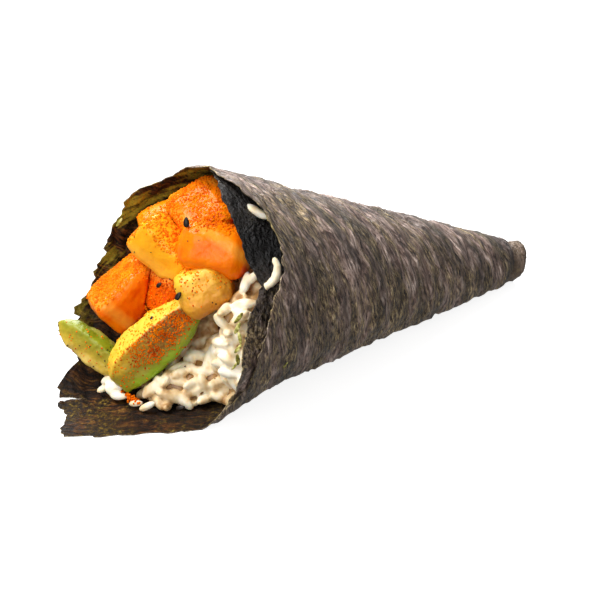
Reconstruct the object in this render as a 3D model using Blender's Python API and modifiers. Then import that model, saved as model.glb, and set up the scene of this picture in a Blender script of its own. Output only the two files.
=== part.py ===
"""A temaki hand roll lying on its side: a sheet of nori wound into a cone round rice, salmon and avocado.

The mouth points to -X and the tip to +X, the side that laps over faces -Y, and the roll rests on z = 0.
Places inside the roll are given as (near, up, out) in millimetres: across the axis towards -Y, across it
upwards, and along it from the point where the cone's sides would meet.
"""

import math

import bmesh
import bpy
from mathutils import Matrix, Vector

MM = 0.001

# Driving dimensions, in millimetres and degrees.
HALF_ANGLE = 13.4  # of the cone
APEX_X = 85.5  # where the cone's sides would meet, past the tip and level with the table
APEX_Y = -0.55
WALL = 0.5  # the sheet, with the stiffness of several crisp layers
GAP = 0.35  # between neighbours
SETTLE = 0.6  # how far the roll's underside is pressed flat

SHEET_START = -12.5  # turn of the sheet's inner end, clockwise from the top seen from the mouth
SHEET_END = 497.5  # turn of its outer end, after one lap and a third
TURN_STEP = 7.5
TIP_START = 19.3  # the sheet's tip edge: the inner lap stands out further than the outer one
TIP_END = 27.5
LAP_INSET = 0.95  # how far the inner lap lies inside the outer one
TIP_FLARE = 1.6  # how far the inner lap opens again beyond the outer one
TIP_FLARE_FROM = (18.0, 25.0)
GAPE = 6.4  # how much further at the mouth, where the two laps part
GAPE_TURNS = (-4.0, 118.0)
GAPE_FROM = 60.0
LAP_CLOSES = (SHEET_END - 354.0, SHEET_END - 324.0)  # turns over which that gap closes, past the outer end
MOUTH = 124.0  # usual reach of the sheet

EDGE_NEAREST = 121.7  # the sheet's straight short edge: its nearest point, and the turn where that lies
EDGE_TURN = 345.0
CORNER_TURN = 182.5  # the sheet's corner, flat on the table
PEAK_TURN = 364.0
INNER_REACH = (
    (-12.5, 120.0), (4, 124.5), (18, 127.0), (28, 126.0), (38, 125.0), (54, 122.8), (69, 121.0),
    (85, 126.4), (94, 128.1), (106, 128.3), (122, 126.0), (134, 124.5), (150, 129.6), (166, 140.5), (182.5, 153.8),
)
OUTER_REACH = (
    (364, 124.0), (378, 121.6), (392, 118.8), (408, 117.9), (420, 118.7), (434, 122.2),
    (453, 124.8), (481, 122.6), (490, 123.8), (497.5, 125.8),
)
FLAP_NEAR = (130.0, 152.0)  # turns over which the flap past the mouth comes to lie on the table
FLAP_FAR = (196.0, 226.0)  # and leaves it
FLAP_FROM = (108.0, 124.0)  # reaches over which it does so
FLAP_PRESSED = 0.95  # share of its height that it loses there
# How far the far edge stands out from a straight line, at each turn: it's torn and a little warped.
FAR_EDGE = (
    (182.5, 0.1), (198, 1.3), (212, 3.5), (223, 0.3), (239, 3.2), (249, 1.5), (266, 1.6),
    (286, 1.8), (297, 3.0), (306, 1.2), (320, -1.0), (334, 0.2), (350, 0.6), (364, 1.9),
)
SHEET_ROWS = 15
SHEET_CROWDING = 1.35  # over 1, rows lie closer together towards the mouth

RICE_START = 27.0
RICE_POINT = 1.0  # length of the blunt point that it ends in at the tip
RICE_ROWS = 10
RICE_CROWDING = 1.8
RICE_RINGS = 8
RICE_RIM_SHARE = 0.6  # share of the face's width where it starts to follow the rim
RICE_FRONT = 107.0
RICE_BELOW_EDGE = 1.0  # least distance from the sheet's edge in to the rice
# (near, up, height, spread) of the mounds on the rice's face.
RICE_MOUNDS = (
    (14.0, -12.5, 14.0, 9.5),
    (0.0, -25.0, 21.0, 8.5),
    (-11.0, -28.0, 22.0, 5.5),
    (12.5, -1.5, 11.0, 5.5),
    (-12.0, -6.0, 10.0, 9.0),
)

# Each cut piece of salmon: its middle as (near, up, out), the directions of its length and of its broad face,
# its (width, depth, length), rounding, and how much narrower it grows along its length.
SALMON = {
    "salmon_cube_mouth": (
        (-17.3, -8.1, 126.3), (0.21, 0.78, -0.59), (0.97, -0.09, 0.22), (11.0, 10.5, 16.5), 2.4, 0.05,
    ),
    "salmon_slab_middle": (
        (-9.4, 5.1, 122.6), (0.68, -0.52, -0.51), (0.46, -0.24, 0.86), (10.5, 8.5, 17.0), 2.4, 0.08,
    ),
    "salmon_piece_right": (
        (2.8, 10.0, 118.5), (0.66, -0.02, -0.71), (0.70, 0.2, 0.66), (11.5, 10.0, 16.5), 4.3, -0.08,
    ),
    "salmon_piece_top": (
        (-9.1, 14.3, 113.8), (0.31, 0.68, -0.66), (0.43, 0.62, 0.52), (14.0, 10.0, 13.8), 2.8, 0.08,
    ),
    "salmon_piece_back": (
        (-20.4, 9.4, 118.5), (0.43, 0.54, -0.73), (0.43, 0.72, 0.52), (5.5, 5.0, 10.0), 2.0, 0.0,
    ),
    "salmon_piece_inner": (
        (-9.3, -5.0, 119.0), (0.0, 0.0, 1.0), (1.0, 0.0, 0.0), (11.0, 10.0, 11.0), 2.4, 0.0,
    ),
}
AVOCADO_CHUNKS = {
    "avocado_chunk": (
        (3.8, 0.8, 120.2), (0.5, 0.6, -0.6), (0.6, 0.1, 0.75), (11.0, 9.5, 12.5), 3.4, 0.1,
    ),
}
BLOCK_CUTS = 4

# Each avocado slice: the middle of its stone side, the directions of its length and of its skin,
# its length, depth, and thickness on the stone side and on the skin side.
AVOCADO_SLICES = {
    "avocado_slice_middle": (
        (-4.8, -12.9, 132.1), (0.385, 0.81, -0.44), (0.15, -0.56, -0.815), 31.0, 12.0, 5.6, 9.5,
    ),
    "avocado_slice_mouth": (
        (-16.6, -24.1, 136.2), (0.80, -0.38, -0.48), (0.0, 0.9, -0.4), 21.0, 7.5, 3.5, 8.0,
    ),
}
SLICE_ROWS = 12
SLICE_SIDES = 6
SLICE_BLUNTNESS = 0.42  # under 1, its ends are rounder than a sine's
SLICE_CURL = 0.45  # share of its depth by which the ends of the stone side curl back to the skin
SLICE_CROWN = 0.22  # share of its depth by which the skin side is rounded across
ROOM = 0.49  # cut round a filling in whatever gives way to it

half = math.radians(HALF_ANGLE)
apex = Vector((APEX_X, APEX_Y, 0.0))
OUT = Vector((-math.cos(half), 0.0, math.sin(half)))
UP = Vector((math.sin(half), 0.0, math.cos(half)))
NEAR = Vector((0.0, -1.0, 0.0))


def start():
    """An empty file with the roll's collection and one for the cutters."""
    for thing in list(bpy.data.objects):
        bpy.data.objects.remove(thing)
    made = []
    for name in ("temaki_hand_roll", "cutters"):
        collection = bpy.data.collections.new(name)
        bpy.context.scene.collection.children.link(collection)
        made.append(collection)
    return made


roll, cutters = start()


def material(name, colour, roughness):
    made = bpy.data.materials.new(name)
    made.use_nodes = True
    shader = made.node_tree.nodes["Principled BSDF"]
    shader.inputs["Base Color"].default_value = (*colour, 1.0)
    shader.inputs["Roughness"].default_value = roughness
    shader.inputs["Metallic"].default_value = 0.0
    return made


nori = material("nori", (0.035, 0.032, 0.022), 0.45)
rice = material("sushi_rice", (0.78, 0.68, 0.52), 0.4)
salmon = material("salmon", (0.85, 0.19, 0.02), 0.3)
avocado = material("avocado", (0.5, 0.5, 0.1), 0.4)


def ramp(value, low, high):
    """0 at low, 1 at high, smooth between."""
    share = min(max((value - low) / (high - low), 0.0), 1.0)
    return share * share * (3.0 - 2.0 * share)


def bump(value, low, high):
    """1 midway between low and high, 0 at both and beyond them."""
    share = min(max((value - low) / (high - low), 0.0), 1.0)
    return math.sin(math.pi * share) ** 2


def through(stations, value):
    """A smooth curve's height at value, through (place, height) stations."""
    last = len(stations) - 2
    i = max(j for j in range(last + 1) if j == 0 or stations[j][0] <= value)
    (x0, y0), (x1, y1) = stations[i], stations[i + 1]
    before = stations[max(i - 1, 0)]
    after = stations[min(i + 2, last + 1)]
    share = min(max((value - x0) / (x1 - x0), 0.0), 1.0)
    slope_in = (y1 - before[1]) / (x1 - before[0]) * (x1 - x0)
    slope_out = (after[1] - y0) / (after[0] - x0) * (x1 - x0)
    square, cube = share**2, share**3
    return (
        (2 * cube - 3 * square + 1) * y0
        + (cube - 2 * square + share) * slope_in
        + (3 * square - 2 * cube) * y1
        + (cube - square) * slope_out
    )


def reach(turn):
    """How far from the apex the sheet's mouth edge lies, along the cone's side."""
    if turn <= CORNER_TURN:
        return through(INNER_REACH, turn)
    if turn >= PEAK_TURN:
        return through(OUTER_REACH, turn)
    straight = EDGE_NEAREST / math.cos(math.radians(turn - EDGE_TURN) * math.sin(half))
    return straight + through(FAR_EDGE, turn)


def inset(turn, along):
    """How far the inner lap lies inside the cone that the outer lap follows."""
    lapped = LAP_INSET * (1.0 - ramp(turn, *LAP_CLOSES))
    opened = max(along - GAPE_FROM, 0.0) / (MOUTH - GAPE_FROM)
    flared = TIP_FLARE * (1.0 - ramp(along, *TIP_FLARE_FROM))
    return lapped + GAPE * bump(turn, *GAPE_TURNS) * opened**2 - flared


def wrap_point(turn, along):
    """A point of the sheet's outer face, in millimetres."""
    across = along * math.sin(half) - inset(turn, along)
    angle = math.radians(turn)
    point = apex + OUT * along * math.cos(half) + across * (UP * math.cos(angle) + NEAR * math.sin(angle))
    place_round = turn % 360.0
    flat = ramp(place_round, *FLAP_NEAR) * (1.0 - ramp(place_round, *FLAP_FAR)) * ramp(along, *FLAP_FROM)
    point.z = max(point.z - SETTLE, 0.0) * (1.0 - FLAP_PRESSED * flat)
    return point


def inside(turn, along, depth):
    """A point so deep under the sheet's outer face."""
    round_it = wrap_point(turn + 1.0, along) - wrap_point(turn - 1.0, along)
    along_it = wrap_point(turn, along + 0.5) - wrap_point(turn, along - 0.5)
    return wrap_point(turn, along) + round_it.cross(along_it).normalized() * depth


def add(name, mesh, finish, collection=roll):
    thing = bpy.data.objects.new(name, mesh)
    mesh.materials.append(finish)
    mesh.shade_smooth()
    collection.objects.link(thing)
    if collection is cutters:
        thing.hide_render = True
        thing.display_type = "WIRE"
    return thing


def mesh_of(name, points, faces):
    """A mesh from points in millimetres, its faces turned outwards."""
    mesh = bpy.data.meshes.new(name)
    mesh.from_pydata([Vector(p) * MM for p in points], [], faces)
    shape = bmesh.new()
    shape.from_mesh(mesh)
    bmesh.ops.recalc_face_normals(shape, faces=shape.faces)
    shape.to_mesh(mesh)
    shape.free()
    return mesh


def make_wrap():
    """The sheet: an open spiral surface with Solidify for its thickness."""
    count = round((SHEET_END - SHEET_START) / TURN_STEP)
    points = []
    for i in range(count + 1):
        turn = SHEET_START + i * TURN_STEP
        low = TIP_START + (TIP_END - TIP_START) * i / count
        high = reach(turn)
        for j in range(SHEET_ROWS + 1):
            share = 1.0 - (1.0 - j / SHEET_ROWS) ** SHEET_CROWDING
            points.append(wrap_point(turn, low + (high - low) * share))
    row = SHEET_ROWS + 1
    faces = [
        (i * row + j, i * row + j + 1, (i + 1) * row + j + 1, (i + 1) * row + j)
        for i in range(count)
        for j in range(SHEET_ROWS)
    ]
    mesh = bpy.data.meshes.new("nori_wrap")
    mesh.from_pydata([p * MM for p in points], [], faces)
    wrap = add("nori_wrap", mesh, nori)
    outwards = mesh.polygons[0].normal.dot(mesh.polygons[0].center - (apex + OUT * TIP_START) * MM)
    if outwards < 0:
        mesh.flip_normals()
    thick = wrap.modifiers.new("thickness", "SOLIDIFY")
    thick.thickness = WALL * MM
    thick.offset = -1.0
    return wrap


def rice_height(near, up):
    """How far out the rice's uneven face lies."""
    height = RICE_FRONT
    for at_near, at_up, high, spread in RICE_MOUNDS:
        away = ((near - at_near) ** 2 + (up - at_up) ** 2) / spread**2
        height += high * math.exp(-away)
    return height


def place(near, up, out):
    return apex + NEAR * near + UP * up + OUT * out


def make_rice():
    """The rice: a body that fills the cone, with a mounded face at the mouth."""
    count = round(360.0 / TURN_STEP)
    depth = WALL + GAP
    turns = [SHEET_START + i * TURN_STEP for i in range(count)]
    rim = []
    for turn in turns:
        side = inside(turn, RICE_FRONT / math.cos(half), depth) - apex
        edge = reach(turn) * math.cos(half) - RICE_BELOW_EDGE
        rim.append(min(rice_height(side.dot(NEAR), side.dot(UP)), edge))
    points = [place(0.0, 0.0, RICE_START - RICE_POINT)]
    for j in range(RICE_ROWS + 1):
        share = 1.0 - (1.0 - j / RICE_ROWS) ** RICE_CROWDING
        for turn, high in zip(turns, rim):
            along = (RICE_START + (high - RICE_START) * share) / math.cos(half)
            points.append(inside(turn, along, depth))
    for j in range(1, RICE_RINGS):
        share = 1.0 - j / RICE_RINGS
        for turn, high in zip(turns, rim):
            side = inside(turn, high / math.cos(half), depth) - apex
            near, up = side.dot(NEAR) * share, side.dot(UP) * share
            blend = ramp(share, RICE_RIM_SHARE, 1.0)
            points.append(place(near, up, high * blend + rice_height(near, up) * (1.0 - blend)))
    points.append(place(0.0, 0.0, rice_height(0.0, 0.0)))
    faces = [(0, 1 + i, 1 + (i + 1) % count) for i in range(count)]
    for j in range(RICE_ROWS + RICE_RINGS - 1):
        for i in range(count):
            a, b = 1 + j * count + i, 1 + j * count + (i + 1) % count
            faces.append((a, b, b + count, a + count))
    base = 1 + (RICE_ROWS + RICE_RINGS - 1) * count
    faces += [(base + i, len(points) - 1, base + (i + 1) % count) for i in range(count)]
    return add("rice", mesh_of("rice", points, faces), rice)


def block_mesh(name, size, rounding, taper):
    """A rounded block about the origin, its Z its length, narrower towards +Z by taper."""
    shape = bmesh.new()
    bmesh.ops.create_cube(shape, size=2.0)
    bmesh.ops.subdivide_edges(shape, edges=shape.edges[:], cuts=BLOCK_CUTS, use_grid_fill=True)
    halves = [s / 2.0 for s in size]
    for corner in shape.verts:
        full = Vector([c * h for c, h in zip(corner.co, halves)])
        core = Vector([min(max(f, rounding - h), h - rounding) for f, h in zip(full, halves)])
        away = full - core
        point = core + away.normalized() * rounding if away.length > 0 else full
        narrow = 1.0 - taper * point.z / halves[2]
        corner.co = Vector((point.x * narrow, point.y * narrow, point.z)) * MM
    bmesh.ops.recalc_face_normals(shape, faces=shape.faces)
    mesh = bpy.data.meshes.new(name)
    shape.to_mesh(mesh)
    shape.free()
    return mesh


def slice_mesh(name, length, depth, thin, thick):
    """An avocado slice, its length along Z: flat at Y = 0, where the stone was, and round on its skin."""
    points = []
    for i in range(1, SLICE_ROWS):
        share = i / SLICE_ROWS
        full = math.sin(math.pi * share) ** SLICE_BLUNTNESS
        height = (share - 0.5) * length
        inner = depth * (1.0 - full) * SLICE_CURL
        outer = inner + depth * full
        points += [(-thin / 2.0 * full, inner, height), (thin / 2.0 * full, inner, height)]
        for k in range(SLICE_SIDES + 1):
            across = 1.0 - 2.0 * k / SLICE_SIDES
            crown = outer - SLICE_CROWN * depth * full * across**2
            points.append((thick / 2.0 * full * across, crown, height))
    ring = SLICE_SIDES + 3
    points += [(0.0, depth * SLICE_CURL, -length / 2.0), (0.0, depth * SLICE_CURL, length / 2.0)]
    faces = []
    for i in range(SLICE_ROWS - 2):
        for k in range(ring):
            a, b = i * ring + k, i * ring + (k + 1) % ring
            faces.append((a, b, b + ring, a + ring))
    last = (SLICE_ROWS - 2) * ring
    for k in range(ring):
        faces.append((len(points) - 2, (k + 1) % ring, k))
        faces.append((len(points) - 1, last + k, last + (k + 1) % ring))
    return mesh_of(name, points, faces)


def laid(thing, at, along, facing):
    """Puts a piece at (near, up, out) with its Z along one direction and its Y facing another."""
    length = (NEAR * along[0] + UP * along[1] + OUT * along[2]).normalized()
    outward = NEAR * facing[0] + UP * facing[1] + OUT * facing[2]
    outward = (outward - length * outward.dot(length)).normalized()
    basis = Matrix((outward.cross(length), outward, length)).transposed()
    thing.matrix_world = Matrix.Translation(place(*at) * MM) @ basis.to_4x4()


def room_for(piece):
    """A cutter that follows a piece, a gap larger all over."""
    mesh = piece.data.copy()
    for corner in mesh.vertices:
        corner.co = piece.data.vertices[corner.index].co + corner.normal * ROOM * MM
    room = add(piece.name + "_room", mesh, piece.data.materials[0], cutters)
    room.matrix_world = piece.matrix_world
    return room


def make_fillings():
    """The salmon and the avocado, in the order in which each gives way to the next."""
    made = []
    for blocks, finish in ((SALMON, salmon), (AVOCADO_CHUNKS, avocado)):
        for name, (at, along, facing, size, rounding, taper) in blocks.items():
            piece = add(name, block_mesh(name, size, rounding, taper), finish)
            laid(piece, at, along, facing)
            made.append(piece)
    for name, (at, along, facing, length, depth, thin, thick) in AVOCADO_SLICES.items():
        piece = add(name, slice_mesh(name, length, depth, thin, thick), avocado)
        laid(piece, at, along, facing)
        made.append(piece)
    return made


def cut(thing, cutter):
    modifier = thing.modifiers.new("room_" + cutter.name, "BOOLEAN")
    modifier.operation = "DIFFERENCE"
    modifier.solver = "EXACT"
    modifier.object = cutter


make_wrap()
heap = make_rice()
pieces = make_fillings()
rooms = [room_for(piece) for piece in pieces]
for i, piece in enumerate(pieces):
    for room in rooms[i + 1:]:
        cut(piece, room)
for room in rooms:
    cut(heap, room)
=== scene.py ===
"""The looks of a temaki hand roll lying on its side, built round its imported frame.

The mouth points to -X and the tip to +X. Places inside the roll are (near, up, out) in millimetres: across its
axis towards -Y, across it upwards, and along it from the point where the cone's sides would meet.
"""

import math

import bmesh
import bpy
import numpy as np
from mathutils import Matrix, Vector, noise
from mathutils.bvhtree import BVHTree
from mathutils.kdtree import KDTree


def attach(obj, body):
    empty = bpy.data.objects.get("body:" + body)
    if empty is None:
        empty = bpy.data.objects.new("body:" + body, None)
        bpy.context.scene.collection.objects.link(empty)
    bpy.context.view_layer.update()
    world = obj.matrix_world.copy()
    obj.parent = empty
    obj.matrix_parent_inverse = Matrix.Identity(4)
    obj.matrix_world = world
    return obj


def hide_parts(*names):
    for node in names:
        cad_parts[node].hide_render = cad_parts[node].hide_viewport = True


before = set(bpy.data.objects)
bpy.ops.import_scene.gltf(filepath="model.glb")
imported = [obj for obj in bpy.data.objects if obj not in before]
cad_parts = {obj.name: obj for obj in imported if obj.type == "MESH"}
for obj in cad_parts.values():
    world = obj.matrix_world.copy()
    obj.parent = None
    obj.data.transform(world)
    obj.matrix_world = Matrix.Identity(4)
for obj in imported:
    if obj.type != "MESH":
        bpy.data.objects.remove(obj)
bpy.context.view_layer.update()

MM = 0.001

# ---------------------------------------------------------------------------------------------------------------
# The sheet of nori: half a sheet of roasted seaweed, paper-thin, wound by hand into a cone of one lap and a third,
# with a corner left over past the mouth. Its smooth side faces out and puckers as it softens on the rice.
# It's a spiral surface with slightly torn edges, given its thickness by Solidify.
HALF_ANGLE = 13.4  # of the cone, in degrees
APEX_X, APEX_Y = 85.5, -0.55
SHEET_START, SHEET_END = -12.5, 497.5  # turns of its two ends, clockwise from the top as seen from the mouth
TIP_START, TIP_END = 19.3, 27.5
LAP_INSET = 0.95
TIP_FLARE, TIP_FLARE_FROM = 1.6, (18.0, 25.0)
GAPE, GAPE_TURNS, GAPE_FROM, MOUTH = 6.4, (-4.0, 118.0), 60.0, 124.0
LAP_CLOSES = (SHEET_END - 354.0, SHEET_END - 324.0)
EDGE_NEAREST, EDGE_TURN = 121.7, 345.0
CORNER_TURN, PEAK_TURN = 182.5, 364.0
INNER_REACH = (
    (-12.5, 120.0), (4, 124.5), (18, 127.0), (28, 126.0), (38, 125.0), (54, 122.8), (69, 121.0),
    (85, 126.4), (94, 128.1), (106, 128.3), (122, 126.0), (134, 124.5), (150, 129.6), (166, 140.5), (182.5, 153.8),
)
OUTER_REACH = (
    (364, 124.0), (378, 121.6), (392, 118.8), (408, 117.9), (420, 118.7), (434, 122.2),
    (453, 124.8), (481, 122.6), (490, 123.8), (497.5, 125.8),
)
FAR_EDGE = (
    (182.5, 0.1), (198, 1.3), (212, 3.5), (223, 0.3), (239, 3.2), (249, 1.5), (266, 1.6),
    (286, 1.8), (297, 3.0), (306, 1.2), (320, -1.0), (334, 0.2), (350, 0.6), (364, 1.9),
)
FLAP_NEAR, FLAP_FAR, FLAP_FROM, FLAP_PRESSED = (130.0, 152.0), (196.0, 226.0), (108.0, 124.0), 0.95
SETTLE = 0.6
SHEET_THICKNESS = 0.26
SHEET_COLUMNS, SHEET_ROWS, SHEET_CROWDING = 340, 132, 1.35
TORN_EDGE = ((5.0, 0.8), (1.8, 0.7), (0.8, 0.5))  # (size, depth) of the nicks along its edges
RAGGED, RAGGED_TURNS = 1.4, (120.0, 300.0)  # how much deeper those are on the left-over corner
# (size along the cone, size round it, height) of its puckers.
PUCKERS = ((6.0, 13.0, 0.6), (2.4, 7.0, 0.5), (1.2, 3.5, 0.28))
PUCKER_SLANT = 0.012  # turns of a pucker's line, in radians for each millimetre along
# How far the inner lap is darkened at each turn, and how far out that starts: partly as nori soaked by the rice,
# partly as painted shade in the gap between the laps.
DAMP_AND_SHADE, DAMP_AND_SHADE_FROM = ((-12.5, 0.8), (20.0, 0.95), (60.0, 0.95), (74.0, 0.5), (90.0, 0.15), (150.0, 0.0)), (90.0, 108.0)
CORNER_SHADOW, CORNER_SHADOW_TURNS, CORNER_SHADOW_TO = 0.75, (125.0, 240.0), (127.0, 139.0)  # painted shadow on the left-over corner, under the rice and avocado
BACKLIT_TURNS = (225.0, 372.0)  # where the far wall is painted yellow-green, as light shining through thin nori from behind makes it look
GRITTY_TURNS, GRITTY_MORE = (405.0, 560.0), 0.055  # where its smooth side is gritty, and by how much
BARE_TURNS, BARE_TO = (150.0, 260.0), 28.5  # the tip, where the outer lap leaves the inner one bare
END_SHADOW, END_SHADOW_WIDE = 0.75, 1.7  # how dark and wide the painted shadow along the outer lap's frayed end is
LIGHT_ZONES = 13.0  # how wide its painted zones of light and shade are, which stand in for the shading of broad folds
SLIT_AT, SLIT_LENGTH, SLIT_WIDTH = (206.0, 145.2), 4.6, 0.9  # a tear in the left-over corner's edge

half = math.radians(HALF_ANGLE)
apex = Vector((APEX_X, APEX_Y, 0.0))
OUT = Vector((-math.cos(half), 0.0, math.sin(half)))
UP = Vector((math.sin(half), 0.0, math.cos(half)))
NEAR = Vector((0.0, -1.0, 0.0))


def ramp(value, low, high):
    """0 at low, 1 at high, smooth between."""
    share = min(max((value - low) / (high - low), 0.0), 1.0)
    return share * share * (3.0 - 2.0 * share)


def bump(value, low, high):
    """1 midway between low and high, 0 at both and beyond them."""
    share = min(max((value - low) / (high - low), 0.0), 1.0)
    return math.sin(math.pi * share) ** 2


def through(stations, value):
    """A smooth curve's height at value, through (place, height) stations."""
    last = len(stations) - 2
    i = max(j for j in range(last + 1) if j == 0 or stations[j][0] <= value)
    (x0, y0), (x1, y1) = stations[i], stations[i + 1]
    before = stations[max(i - 1, 0)]
    after = stations[min(i + 2, last + 1)]
    share = min(max((value - x0) / (x1 - x0), 0.0), 1.0)
    slope_in = (y1 - before[1]) / (x1 - before[0]) * (x1 - x0)
    slope_out = (after[1] - y0) / (after[0] - x0) * (x1 - x0)
    square, cube = share**2, share**3
    return (
        (2 * cube - 3 * square + 1) * y0
        + (cube - 2 * square + share) * slope_in
        + (3 * square - 2 * cube) * y1
        + (cube - square) * slope_out
    )


def reach(turn):
    """How far from the apex the sheet's mouth edge lies, along the cone's side."""
    if turn <= CORNER_TURN:
        return through(INNER_REACH, turn)
    if turn >= PEAK_TURN:
        return through(OUTER_REACH, turn)
    straight = EDGE_NEAREST / math.cos(math.radians(turn - EDGE_TURN) * math.sin(half))
    return straight + through(FAR_EDGE, turn)


def sheet_inset(turn, along):
    """How far the inner lap lies inside the cone that the outer lap follows."""
    lapped = LAP_INSET * (1.0 - ramp(turn, *LAP_CLOSES))
    opened = max(along - GAPE_FROM, 0.0) / (MOUTH - GAPE_FROM)
    flared = TIP_FLARE * (1.0 - ramp(along, *TIP_FLARE_FROM))
    return lapped + GAPE * bump(turn, *GAPE_TURNS) * opened**2 - flared


def wrap_point(turn, along):
    """A point of the smooth sheet's outer face, in millimetres."""
    across = along * math.sin(half) - sheet_inset(turn, along)
    angle = math.radians(turn)
    point = apex + OUT * along * math.cos(half) + across * (UP * math.cos(angle) + NEAR * math.sin(angle))
    place_round = turn % 360.0
    flat = ramp(place_round, *FLAP_NEAR) * (1.0 - ramp(place_round, *FLAP_FAR)) * ramp(along, *FLAP_FROM)
    point.z = max(point.z - SETTLE, 0.0) * (1.0 - FLAP_PRESSED * flat)
    return point


def pucker(turn, along):
    """How far the sheet stands out or in from the smooth cone: creases that run round it, a little slanted."""
    angle = math.radians(turn) + PUCKER_SLANT * along
    round_it = Vector((0.0, math.cos(angle), math.sin(angle))) * along * math.sin(half)
    height = 0.0
    for along_size, round_size, deep in PUCKERS:
        at = round_it / round_size + Vector((along / along_size + deep * 50.0, 0.0, 0.0))
        height += deep * (0.5 - 1.6 * abs(noise.noise(at)))
    return height


def puckered_point(turn, along):
    round_it = wrap_point(turn + 1.0, along) - wrap_point(turn - 1.0, along)
    along_it = wrap_point(turn, along + 0.5) - wrap_point(turn, along - 0.5)
    outwards = along_it.cross(round_it).normalized()
    point = wrap_point(turn, along) + outwards * pucker(turn, along)
    point.z = max(point.z, 0.0)
    return point


def torn(turn, edge):
    """A torn edge's nicks, in millimetres, at a turn along an edge that lies so far from the apex."""
    along_edge = math.radians(turn) * edge * math.sin(half)
    ragged = 1.0 + RAGGED * bump(turn, *RAGGED_TURNS)
    return ragged * sum(
        deep * noise.noise(Vector((along_edge / size, size * 7.0, edge * 0.01))) for size, deep in TORN_EDGE
    )


def flat_place(turn, along):
    """A point's place on the sheet laid flat, in millimetres: X runs along its long side."""
    angle = math.radians(turn - EDGE_TURN) * math.sin(half)
    return along * math.cos(angle), along * math.sin(angle)


def link(name, mesh):
    made = bpy.data.objects.new(name, mesh)
    bpy.context.scene.collection.objects.link(made)
    return made


def baked(thing):
    """The object as a plain mesh with its modifiers applied."""
    graph = bpy.context.evaluated_depsgraph_get()
    mesh = bpy.data.meshes.new_from_object(
        thing.evaluated_get(graph), preserve_all_data_layers=True, depsgraph=graph
    )
    thing.modifiers.clear()
    thing.data = mesh
    return thing


def make_sheet():
    turns = [SHEET_START + (SHEET_END - SHEET_START) * i / SHEET_COLUMNS for i in range(SHEET_COLUMNS + 1)]
    points, wound, flat, damp, thin, grit, bare = [], [], [], [], [], [], []
    for turn in turns:
        low = TIP_START + (TIP_END - TIP_START) * (turn - SHEET_START) / (SHEET_END - SHEET_START)
        low += 0.5 * torn(turn, low)
        high = reach(turn) + torn(turn, MOUTH)
        for j in range(SHEET_ROWS + 1):
            share = 1.0 - (1.0 - j / SHEET_ROWS) ** SHEET_CROWDING
            along = low + (high - low) * share
            points.append(puckered_point(turn, along) * MM)
            wound.append((along, math.radians(turn) * along * math.sin(half)))
            flat.append(flat_place(turn, along))
            # Darkening in one attribute: soaked nori with painted shade in the gap between the laps, painted shadow on
            # the left-over corner, and painted shadow along the outer lap's end.
            soaked_and_shaded = through(DAMP_AND_SHADE, min(turn, DAMP_AND_SHADE[-1][0])) * ramp(along, *DAMP_AND_SHADE_FROM)
            soaked_and_shaded = max(soaked_and_shaded, CORNER_SHADOW * bump(turn, *CORNER_SHADOW_TURNS) * (1.0 - ramp(along, *CORNER_SHADOW_TO)))
            damp.append(max(soaked_and_shaded, END_SHADOW * ramp(turn, *LAP_CLOSES) * bump(along - low, -0.6, END_SHADOW_WIDE)))
            bare.append((1.0 - ramp(turn, *BARE_TURNS)) * (1.0 - ramp(along, BARE_TO - 1.5, BARE_TO)))
            # Where painted backlight shows through the far wall.
            thin.append(bump(turn, *BACKLIT_TURNS) ** 0.5)
            grit.append(GRITTY_MORE * bump(turn, *GRITTY_TURNS))
    row = SHEET_ROWS + 1
    faces = [
        (i * row + j, i * row + j + 1, (i + 1) * row + j + 1, (i + 1) * row + j)
        for i in range(SHEET_COLUMNS)
        for j in range(SHEET_ROWS)
    ]
    mesh = bpy.data.meshes.new("nori_sheet")
    mesh.from_pydata(points, [], faces)
    for name, values in (("damp", damp), ("thin", thin), ("grit", grit), ("bare", bare)):
        mesh.attributes.new(name, "FLOAT", "POINT").data.foreach_set("value", values)
    corners = np.empty(len(mesh.loops), np.int32)
    mesh.loops.foreach_get("vertex_index", corners)
    for name, places in (("wound", wound), ("flat", flat)):
        layer = mesh.uv_layers.new(name=name)
        layer.data.foreach_set("uv", np.array(places, np.float32)[corners].ravel())
    return link("nori_sheet", mesh)


def cut_slit(sheet):
    """Parts the sheet along a thin wedge in its corner's edge."""
    start = puckered_point(SLIT_AT[0], SLIT_AT[1]) * MM
    flat_x = -OUT * math.cos(math.radians(SLIT_AT[0] - EDGE_TURN) * math.sin(half))
    flat_x += NEAR * math.sin(math.radians(SLIT_AT[0] - EDGE_TURN) * math.sin(half)) * -1.0
    inwards = Vector((flat_x.x, flat_x.y, 0.0)).normalized()
    sideways = Vector((-inwards.y, inwards.x, 0.0))
    shape = bmesh.new()
    shape.from_mesh(sheet.data)
    sides = []
    for sign in (-1.0, 1.0):
        tip = start + inwards * SLIT_LENGTH * MM
        edge = start + sideways * sign * SLIT_WIDTH / 2.0 * MM
        along = (tip - edge).normalized()
        across = Vector((-along.y, along.x, 0.0)) * -sign
        sides.append((tip, across))
    reachable = (SLIT_LENGTH + 2.0) * MM
    for tip, across in sides:
        near_faces = [f for f in shape.faces if (f.calc_center_median() - start).length < reachable]
        parts = {v for f in near_faces for v in f.verts} | {e for f in near_faces for e in f.edges}
        bmesh.ops.bisect_plane(shape, geom=[*near_faces, *parts], plane_co=tip, plane_no=across, dist=1e-7)
    gone = []
    for f in shape.faces:
        centre = f.calc_center_median()
        if (centre - start).length < reachable and all((centre - t).dot(a) > 0.0 for t, a in sides):
            if (centre - start).dot(inwards) < SLIT_LENGTH * MM:
                gone.append(f)
    bmesh.ops.delete(shape, geom=gone, context="FACES")
    shape.to_mesh(sheet.data)
    shape.free()


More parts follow.
